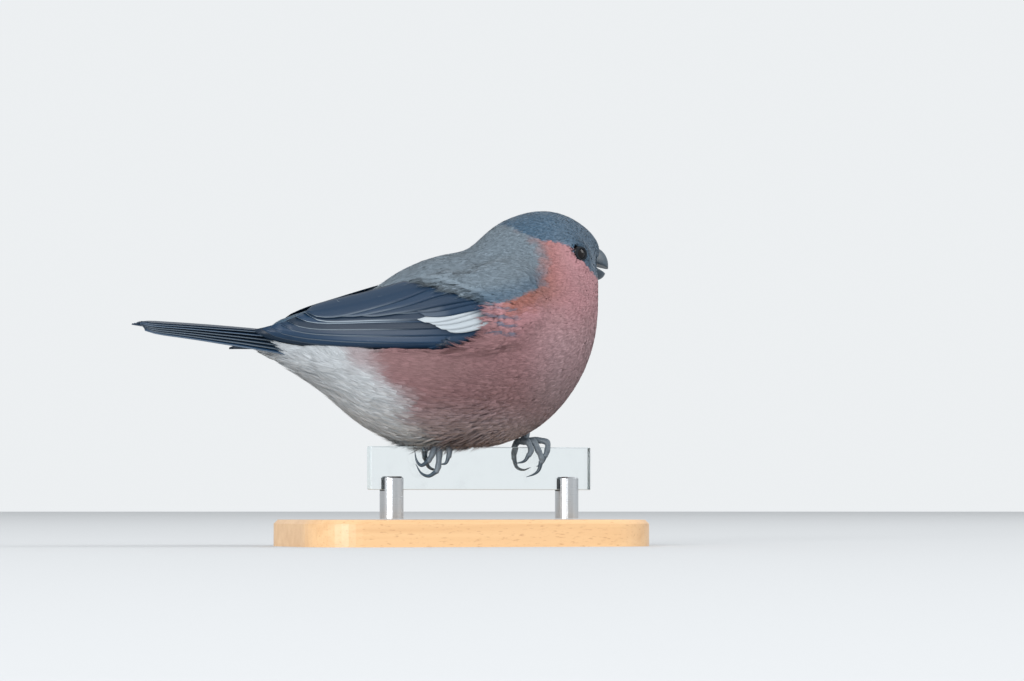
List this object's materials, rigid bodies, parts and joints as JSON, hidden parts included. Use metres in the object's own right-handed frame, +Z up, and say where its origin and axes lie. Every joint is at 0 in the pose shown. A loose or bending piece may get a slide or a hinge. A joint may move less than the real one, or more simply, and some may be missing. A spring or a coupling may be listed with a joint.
{
  "type": "bullfinch model",
  "caption": "Still life-size model of a male bullfinch perched on a short clear sheet that rods hold over a flat wooden base.",
  "frame": {"origin": "on the underside of the stand's base, straight below the middle of the rim that the bird grips", "axes": "+X the way the bird faces, +Y to its left, +Z up"},
  "size_m": [0.1542, 0.062, 0.1023],
  "materials": {
    "cap_plumage": "glossy blue-black feathers",
    "nape_plumage": "soft slate-grey feathers",
    "body_plumage": "soft rose-red feathers, pale grey at the rear",
    "flight_feathers": "blue-black vanes with a slight gloss",
    "bill_horn": "black horn, satin",
    "leg_skin": "dark brown scaled skin and claws",
    "eye": "wet, almost black",
    "clear_sheet": "clear, polished edges",
    "rod_steel": "brushed",
    "base_wood": "oiled beech, satin"
  },
  "bodies": {
    "root": {"head": "cap_plumage", "neck": "nape_plumage", "torso": "body_plumage", "tail": "flight_feathers", "wing_right": "flight_feathers", "wing_left": "flight_feathers", "bill_upper": "bill_horn", "bill_lower": "bill_horn", "eye_right": "eye", "eye_left": "eye", "leg_left": "leg_skin", "leg_right": "leg_skin", "stand_perch": "clear_sheet", "stand_rod_rear": "rod_steel", "stand_rod_front": "rod_steel", "stand_base": "base_wood"}
  },
  "joints": []
}
